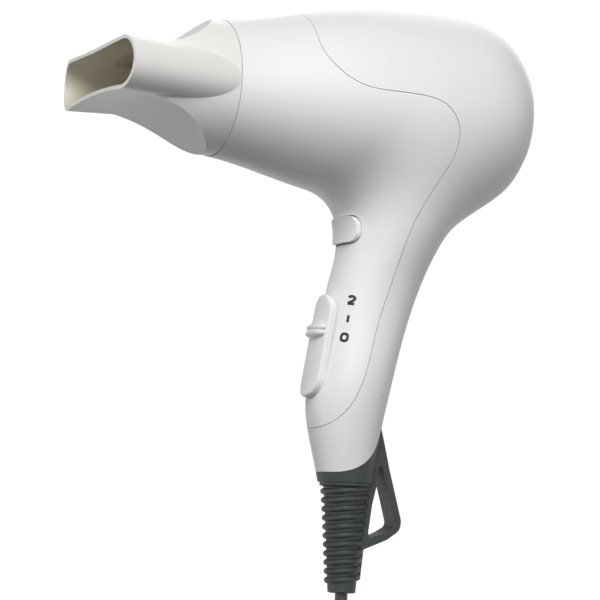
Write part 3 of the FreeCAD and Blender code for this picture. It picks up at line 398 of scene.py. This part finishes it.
def mark_lines(wide, tall, stroke):
    """The strokes of 0, I and 2, each as (line, closed), centred on nothing."""
    w, h = (wide - stroke) / 2, (tall - stroke) / 2
    ring = []
    for i in range(48):
        turn = 2 * math.pi * i / 48
        c, s = math.cos(turn), math.sin(turn)
        ring.append((w * math.copysign(abs(c) ** 0.8, c), h * math.copysign(abs(s) ** 0.8, s)))
    bar = [(0, -h + 2 * h * i / 8) for i in range(9)]
    crown = [(-0.95 * w, 0.62 * h), (-0.55 * w, h), (0.5 * w, h), (w, 0.5 * h), (0.45 * w, -0.12 * h), (-w, -h)]
    foot = [(-w + 2 * w * i / 8, -h) for i in range(9)]
    return [[(ring, True)], [(bar, False)], [(smooth_line(crown), False), (foot, False)]]


class HAIRDRYER_OT_marks(bpy.types.Operator):
    """Prints 2, I and 0 on the shell beside the speed slider"""
    bl_idname = "hair_dryer.marks"
    bl_label = "Switch Marks"

    FIRST = Vector((13.05, 12.6, 17.8)) * MM      # middle of the 0
    LAST = Vector((9.3, 11.3, 33.5)) * MM         # middle of the 2
    ACROSS = Vector((-0.785, 0.619, 0.0))         # the way the marks read, along the shell
    REACH = 12 * MM
    LIFT = 0.06 * MM                              # thickness of the ink

    def execute(self, context):
        sizes = context.scene.hair_dryer_marks
        shell = NODES["front_casing"].data
        tree = BVHTree.FromPolygons([v.co for v in shell.vertices], [tuple(p.vertices) for p in shell.polygons])
        up = (self.LAST - self.FIRST).normalized()
        out = self.ACROSS.cross(up).normalized()
        across = up.cross(out)
        vertices, faces = [], []
        for number, strokes in enumerate(mark_lines(sizes.wide, sizes.tall, sizes.stroke)):
            centre = self.FIRST.lerp(self.LAST, number / 2)
            for line, closed in strokes:
                places, cells = ribbon(line, sizes.stroke, closed)
                faces += [tuple(len(vertices) + i for i in cell) for cell in cells]
                for a, b in places:
                    start = centre + across * a + up * b + out * self.REACH
                    hit, normal, _, _ = tree.ray_cast(start, -out)
                    if hit is None:
                        raise RuntimeError("a switch mark misses the shell")
                    vertices.append(hit + out * self.LIFT)
        piece = new_piece("switch_marks", vertices, faces, print_ink("pad_printed_ink", sizes.ink))
        thicken = piece.modifiers.new("ink", "SOLIDIFY")
        thicken.thickness = 0.03 * MM
        thicken.offset = -1
        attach(piece, "base")
        return {"FINISHED"}


# ---------------------------------------------------------------- shells and other CAD nodes

class HAIRDRYER_OT_shell(bpy.types.Operator):
    """Gives the casings, slider, button and nozzle their satin moulded finish"""
    bl_idname = "hair_dryer.shell"
    bl_label = "Shells"

    def execute(self, context):
        look = context.scene.hair_dryer_shell
        abs_white = satin_abs("satin_abs_shell", look.shell, look.grain)
        give(abs_white, "front_casing", "rear_casing_left", "rear_casing_right", "speed_slider", "cool_button")
        give(abs_white, "intake_grille")
        nozzle = heatproof_nozzle("satin_heatproof_polyamide", look.nozzle, look.nozzle_inner_shade, look.grain)
        give(nozzle, "concentrator_nozzle")
        return {"FINISHED"}


class HAIRDRYER_OT_soft_parts(bpy.types.Operator):
    """Gives the cord boot, nozzle ring, outlet grille and plug their dark finish"""
    bl_idname = "hair_dryer.soft_parts"
    bl_label = "Dark Parts"

    def execute(self, context):
        look = context.scene.hair_dryer_shell
        give(soft_elastomer("anthracite_elastomer", look.soft, 0.7 * MM), "cord_boot", "nozzle_ring")
        give(moulded_nylon("grille_nylon", look.soft), "outlet_grille")
        give(soft_elastomer("plug_pvc", look.cord, 0.9 * MM), "plug_body", "plug_boot")
        give(drawn_metal("nickelled_brass", linear("C9C6BE"), 0.25), "plug_pins")
        return {"FINISHED"}


class HAIRDRYER_OT_inner_parts(bpy.types.Operator):
    """Gives the fan, motor, heater, switches and wiring their finishes"""
    bl_idname = "hair_dryer.inner_parts"
    bl_label = "Inner Parts"

    def execute(self, context):
        steel = drawn_metal("plain_steel", linear("B4B4B2"), 0.35)
        give(steel, "casing_screws", "rotor_shaft", "armature_core", "cool_spring", "thermal_fuse")
        give(drawn_metal("zinc_plated_steel", linear("BDBCB4"), 0.3, 2.0), "motor_can")
        copper = drawn_metal("enamelled_copper", linear("B36A3C"), 0.3)
        give(copper, "armature_windings", "commutator", "suppression_choke", "cord_cores", "lead_wires")
        give(drawn_metal("sintered_bronze", linear("9C7A48"), 0.5), "motor_bearings")
        give(moulded_nylon("ferrite_and_carbon", linear("2C2C2E"), 0.55), "motor_magnets", "motor_brushes")
        give(phenolic_board("paper_phenolic_board"), "rectifier_board", "control_board")
        give(mica_sheet("pressed_mica"), "mica_sleeve", "mica_cross")
        black = moulded_nylon("black_nylon", linear("202123"))
        give(black, "fan_duct", "motor_end_cap", "thermostat", "slider_carriage", "switch_unit", "cool_switch")
        give(black, "cord_clamp", "terminal_block")
        give(moulded_nylon("fan_nylon", linear("3A3B3D"), 0.42), "fan")
        give(moulded_nylon("film_capacitor_case", linear("C9A437"), 0.4), "filter_capacitor")
        return {"FINISHED"}


# ---------------------------------------------------------------- geometry node pieces

def new_tree(name, sizes):
    """A geometry node tree with an input for each named size, and its group input and output nodes."""
    tree = bpy.data.node_groups.new(name, "GeometryNodeTree")
    for size in sizes:
        tree.interface.new_socket(size, in_out="INPUT", socket_type="NodeSocketFloat")
    tree.interface.new_socket("Geometry", in_out="OUTPUT", socket_type="NodeSocketGeometry")
    return tree, add_node(tree, "NodeGroupInput"), add_node(tree, "NodeGroupOutput")


def grown_piece(name, tree, sizes, material, body):
    """The mesh that a tree makes with those sizes, as a plain piece at the origin on a body."""
    host = bpy.data.objects.new(name + "_host", bpy.data.meshes.new(name + "_host"))
    bpy.context.scene.collection.objects.link(host)
    modifier = host.modifiers.new("grow", "NODES")
    modifier.node_group = tree
    for socket in tree.interface.items_tree:
        if socket.in_out == "INPUT" and socket.name in sizes:
            modifier[socket.identifier] = float(sizes[socket.name])
    graph = bpy.context.evaluated_depsgraph_get()
    graph.update()
    mesh = bpy.data.meshes.new_from_object(host.evaluated_get(graph), depsgraph=graph)
    bpy.data.objects.remove(host)
    mesh.name = name
    if not mesh.materials:
        mesh.materials.append(material)
    piece = bpy.data.objects.new(name, mesh)
    bpy.context.scene.collection.objects.link(piece)
    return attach(piece, body)


def math_node(tree, operation, first, second=0.0):
    """A Math node's result."""
    return add_node(tree, "ShaderNodeMath", {0: first, 1: second}, operation=operation).outputs[0]


def screen_tree(material):
    """Two crossed families of straight wires that fill a disc which faces along X."""
    tree, given, result = new_tree("woven_screen", ["Radius", "Pitch", "Wire", "Place X", "Place Z"])
    radius, pitch, wire = (given.outputs[k] for k in ("Radius", "Pitch", "Wire"))
    steps = math_node(tree, "FLOOR", math_node(tree, "DIVIDE", radius, pitch))
    count = math_node(tree, "ADD", math_node(tree, "MULTIPLY", steps, 2.0), 1.0)
    first = math_node(tree, "MULTIPLY", math_node(tree, "MULTIPLY", steps, pitch), -1.0)
    start = add_node(tree, "ShaderNodeCombineXYZ", {1: first}).outputs[0]
    offset = add_node(tree, "ShaderNodeCombineXYZ", {1: pitch}).outputs[0]
    row = add_node(tree, "GeometryNodeMeshLine", {"Count": count, "Start Location": start, "Offset": offset})
    across = add_node(tree, "GeometryNodeInputPosition").outputs[0]
    at = add_node(tree, "ShaderNodeSeparateXYZ", {0: across}).outputs[1]
    inside = math_node(tree, "SUBTRACT", math_node(tree, "MULTIPLY", radius, radius),
                       math_node(tree, "MULTIPLY", at, at))
    reach = math_node(tree, "SQRT", math_node(tree, "MAXIMUM", inside, 1e-7))
    scale = add_node(tree, "ShaderNodeCombineXYZ", {0: 1.0, 1: 1.0, 2: reach}).outputs[0]
    thick = math_node(tree, "MULTIPLY", wire, 0.5)
    rod = add_node(tree, "GeometryNodeMeshCylinder", {"Vertices": 6, "Radius": thick, "Depth": 2.0})
    wires = add_node(tree, "GeometryNodeInstanceOnPoints", {
        "Points": row.outputs[0], "Instance": rod.outputs[0], "Scale": scale}).outputs[0]
    solid = add_node(tree, "GeometryNodeRealizeInstances", {0: wires}).outputs[0]
    behind = add_node(tree, "ShaderNodeCombineXYZ", {0: thick}).outputs[0]
    turned = add_node(tree, "GeometryNodeTransform", {
        "Geometry": solid, "Translation": behind, "Rotation": (math.pi / 2, 0, 0)}).outputs[0]
    before = math_node(tree, "MULTIPLY", thick, -1.0)
    ahead = add_node(tree, "ShaderNodeCombineXYZ", {0: before}).outputs[0]
    kept = add_node(tree, "GeometryNodeTransform", {"Geometry": solid, "Translation": ahead}).outputs[0]
    both = add_node(tree, "GeometryNodeJoinGeometry")
    tree.links.new(turned, both.inputs[0])
    tree.links.new(kept, both.inputs[0])
    centre = add_node(tree, "ShaderNodeCombineXYZ", {
        0: given.outputs["Place X"], 2: given.outputs["Place Z"]}).outputs[0]
    placed = add_node(tree, "GeometryNodeTransform", {"Geometry": both.outputs[0], "Translation": centre}).outputs[0]
    whole = add_node(tree, "GeometryNodeRealizeInstances", {0: placed}).outputs[0]
    painted = add_node(tree, "GeometryNodeSetMaterial", {"Geometry": whole, "Material": material}).outputs[0]
    tree.links.new(painted, result.inputs[0])
    return tree


class HAIRDRYER_OT_intake_screen(bpy.types.Operator):
    """Weaves the dust screen behind the intake grille"""
    bl_idname = "hair_dryer.intake_screen"
    bl_label = "Intake Screen"

    def execute(self, context):
        sizes = context.scene.hair_dryer_intake
        low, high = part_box("intake_filter")
        material = moulded_nylon("woven_nylon_screen", linear("3C3E40"))
        piece = grown_piece("intake_screen", screen_tree(material), {
            "Radius": (high.y - low.y) / 2, "Pitch": sizes.pitch, "Wire": sizes.wire,
            "Place X": (low.x + high.x) / 2, "Place Z": (low.z + high.z) / 2}, material, "base")
        give(material, "intake_filter")
        return {"FINISHED"}


class HAIRDRYER_OT_heater(bpy.types.Operator):
    """Gives the heater winding its oxidised wire"""
    bl_idname = "hair_dryer.heater"
    bl_label = "Heater"

    def execute(self, context):
        give(drawn_metal("oxidised_resistance_wire", linear("7B736B"), 0.5), "heater_coil")
        return {"FINISHED"}


# ---------------------------------------------------------------- cord

def cord_route(sizes):
    """The cord's points: straight out of the boot, a few chosen ones, the hank's turns, and on to the plug."""
    d, layers = sizes.diameter, sizes.layers
    points = [(3.8, 0, -90), (3.8, 0, -108), (2.2, 0, -130), (6, -4, -143), (17, -7.5, -153)]
    points = [Vector(p) * MM for p in points]
    low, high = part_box("cord_hank")
    middle = (low.x + high.x) / 2
    top = high.z - sizes.fold - d / 2
    bottom = low.z + sizes.fold + d / 2 + 6 * MM
    steps = 6
    for turn in range(2 * layers):
        layer, second = divmod(turn, 2)
        inwards = layer % 2 == 0
        for half, centre in ((0, bottom), (1, top)):
            for i in range(steps + 1):
                share = i / steps
                ease = share * share * (3 - 2 * share)
                spiral = ease if half and not second else float(second)
                inset = d * (spiral if inwards else 1 - spiral)
                side = layer + (ease if half and second and layer < layers - 1 else 0)
                angle = -math.pi * share + (math.pi if half else 0)
                fold = sizes.fold - inset
                y = (side - (layers - 1) / 2) * d
                points.append(Vector((middle + fold * math.cos(angle), y, centre + fold * math.sin(angle))))
    end = Vector((2.6, 0, -256)) * MM
    points += [end + Vector(p) * MM for p in ((15, 8, 18), (8, 7, 7), (1, 3.5, 1.5), (0, 0, -7))]
    return points


class HAIRDRYER_OT_cord(bpy.types.Operator):
    """Lays the mains cord from the boot into its hank and on to the plug, with its tie"""
    bl_idname = "hair_dryer.cord"
    bl_label = "Cord"

    def execute(self, context):
        sizes = context.scene.hair_dryer_cord
        look = context.scene.hair_dryer_shell
        points = cord_route(sizes)
        curve = bpy.data.curves.new("mains_cord", "CURVE")
        curve.dimensions = "3D"
        curve.bevel_depth = sizes.diameter / 2
        curve.bevel_resolution = 4
        curve.resolution_u = 6
        curve.use_fill_caps = True
        spline = curve.splines.new("NURBS")
        spline.points.add(len(points) - 1)
        for point, place in zip(spline.points, points):
            point.co = (*place, 1)
        spline.order_u = 3
        spline.use_endpoint_u = True
        curve.materials.append(pvc_sheath("extruded_pvc_sheath", look.cord))
        cord = bpy.data.objects.new("mains_cord", curve)
        context.scene.collection.objects.link(cord)
        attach(cord, "base")
        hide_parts("cord_tube", "cord_hank")
        give(moulded_nylon("tie_strap_nylon", linear("17181A")), "cord_tie")
        give(curve.materials[0], "cord_in_grip")
        return {"FINISHED"}


# ---------------------------------------------------------------- stage

class HAIRDRYER_OT_stage(bpy.types.Operator):
    """Sets the camera, the soft lights and the plain pale floor"""
    bl_idname = "hair_dryer.stage"
    bl_label = "Stage"

    TARGET = Vector((28.73, 0.0, 33.51)) * MM
    FLOOR_RADIUS = 3.4
    SWEEP_RADIUS = 1.3
    WALL_TOP = 2.6

    def camera(self, context, studio):
        flat = math.cos(studio.elevation)
        back = Vector((math.sin(studio.azimuth) * flat, -math.cos(studio.azimuth) * flat, math.sin(studio.elevation)))
        data = bpy.data.cameras.new("camera")
        data.lens = studio.lens
        data.sensor_width = 36
        camera = bpy.data.objects.new("camera", data)
        context.scene.collection.objects.link(camera)
        camera.location = self.TARGET + back * studio.distance
        camera.rotation_mode = "QUATERNION"
        aim = (-back).to_track_quat("-Z", "Y")
        camera.rotation_quaternion = aim @ Quaternion((0, 0, 1), studio.roll)
        context.scene.camera = camera
        right = aim @ Vector((1, 0, 0))
        return back, right

    def light(self, context, name, direction, distance, size, power):
        data = bpy.data.lights.new(name, "AREA")
        data.shape = "DISK"
        data.size = size
        data.energy = power
        lamp = bpy.data.objects.new(name, data)
        context.scene.collection.objects.link(lamp)
        lamp.location = self.TARGET + direction.normalized() * distance
        lamp.rotation_mode = "QUATERNION"
        lamp.rotation_quaternion = (-direction).to_track_quat("-Z", "Y")

    def floor(self, context):
        """A round pale floor that sweeps up at its edge, so that no line shows where it ends."""
        low = CAD_BOX[0][2] - 0.001
        rings = [(0.0, 0.0)] + [(self.FLOOR_RADIUS * i / 6, 0.0) for i in range(1, 7)]
        for i in range(1, 13):
            turn = math.pi / 2 * i / 12
            rings.append((self.FLOOR_RADIUS + self.SWEEP_RADIUS * math.sin(turn),
                          self.SWEEP_RADIUS * (1 - math.cos(turn))))
        rings.append((self.FLOOR_RADIUS + self.SWEEP_RADIUS, self.WALL_TOP))
        around = 96
        vertices, faces = [], []
        for radius, height in rings[1:]:
            for k in range(around):
                turn = 2 * math.pi * k / around
                vertices.append((radius * math.cos(turn), radius * math.sin(turn), low + height))
        faces.append(tuple(range(around)))
        for ring in range(len(rings) - 2):
            for k in range(around):
                a, b = ring * around + k, ring * around + (k + 1) % around
                faces.append((a, b, b + around, a + around))
        material, tree, out, _ = new_material("pale_paper_floor")
        finish_shader(tree, out, {
            "Base Color": (*linear("F4F4F4"), 1), "Roughness": 0.9,
            "Emission Color": (1, 1, 1, 1), "Emission Strength": 0.95})
        floor = new_piece("floor", vertices, faces, material)
        floor.visible_diffuse = False

    def execute(self, context):
        studio = context.scene.hair_dryer_studio
        back, right = self.camera(context, studio)
        up = Vector((0, 0, 1))
        self.light(context, "key_light", up * 0.75 - right * 0.1 + back * 0.9, 1.3, 1.1, studio.key)
        self.light(context, "fill_light", back * 0.9 + right * 0.45 + up * 0.3, 1.6, 1.0, studio.fill)
        self.light(context, "mouth_light", up * 0.1 - right * 1.0 + back * 0.25, 1.5, 0.8, studio.mouth)
        self.light(context, "rear_light", up * 0.6 + right * 0.3 - back, 1.6, 1.2, studio.rear)
        world = bpy.data.worlds.new("studio")
        world.use_nodes = True
        world.node_tree.nodes["Background"].inputs["Color"].default_value = (1, 1, 1, 1)
        world.node_tree.nodes["Background"].inputs["Strength"].default_value = studio.sky
        context.scene.world = world
        context.scene.view_settings.view_transform = "Standard"
        self.floor(context)
        return {"FINISHED"}


# ---------------------------------------------------------------- panel and registration

OPERATORS = (
    HAIRDRYER_OT_stage, HAIRDRYER_OT_cord, HAIRDRYER_OT_shell, HAIRDRYER_OT_soft_parts,
    HAIRDRYER_OT_inner_parts, HAIRDRYER_OT_heater, HAIRDRYER_OT_intake_screen, HAIRDRYER_OT_marks,
)
SETTINGS = {
    "hair_dryer_shell": ShellSettings,
    "hair_dryer_marks": MarkSettings,
    "hair_dryer_intake": IntakeSettings,
    "hair_dryer_cord": CordSettings,
    "hair_dryer_studio": StudioSettings,
}


class HAIRDRYER_PT_panel(bpy.types.Panel):
    """Lists the dryer's operators and settings"""
    bl_idname = "HAIRDRYER_PT_panel"
    bl_label = "Hair Dryer"
    bl_space_type = "VIEW_3D"
    bl_region_type = "UI"
    bl_category = "Hair Dryer"

    def draw(self, context):
        for operator in OPERATORS:
            self.layout.operator(operator.bl_idname)
        for name, group in SETTINGS.items():
            box = self.layout.box()
            box.label(text=group.__doc__)
            for setting in group.__annotations__:
                box.prop(getattr(context.scene, name), setting)


def register():
    for group in SETTINGS.values():
        bpy.utils.register_class(group)
    for name, group in SETTINGS.items():
        setattr(bpy.types.Scene, name, PointerProperty(type=group))
    for operator in OPERATORS:
        bpy.utils.register_class(operator)
    bpy.utils.register_class(HAIRDRYER_PT_panel)


def unregister():
    bpy.utils.unregister_class(HAIRDRYER_PT_panel)
    for operator in reversed(OPERATORS):
        bpy.utils.unregister_class(operator)
    for name in SETTINGS:
        delattr(bpy.types.Scene, name)
    for group in reversed(list(SETTINGS.values())):
        bpy.utils.unregister_class(group)


def main():
    register()
    bpy.ops.hair_dryer.stage()
    bpy.ops.hair_dryer.cord()
    bpy.ops.hair_dryer.shell()
    bpy.ops.hair_dryer.soft_parts()
    bpy.ops.hair_dryer.inner_parts()
    bpy.ops.hair_dryer.heater()
    bpy.ops.hair_dryer.intake_screen()
    bpy.ops.hair_dryer.marks()
    bpy.context.view_layer.update()


if __name__ == "__main__":
    main()
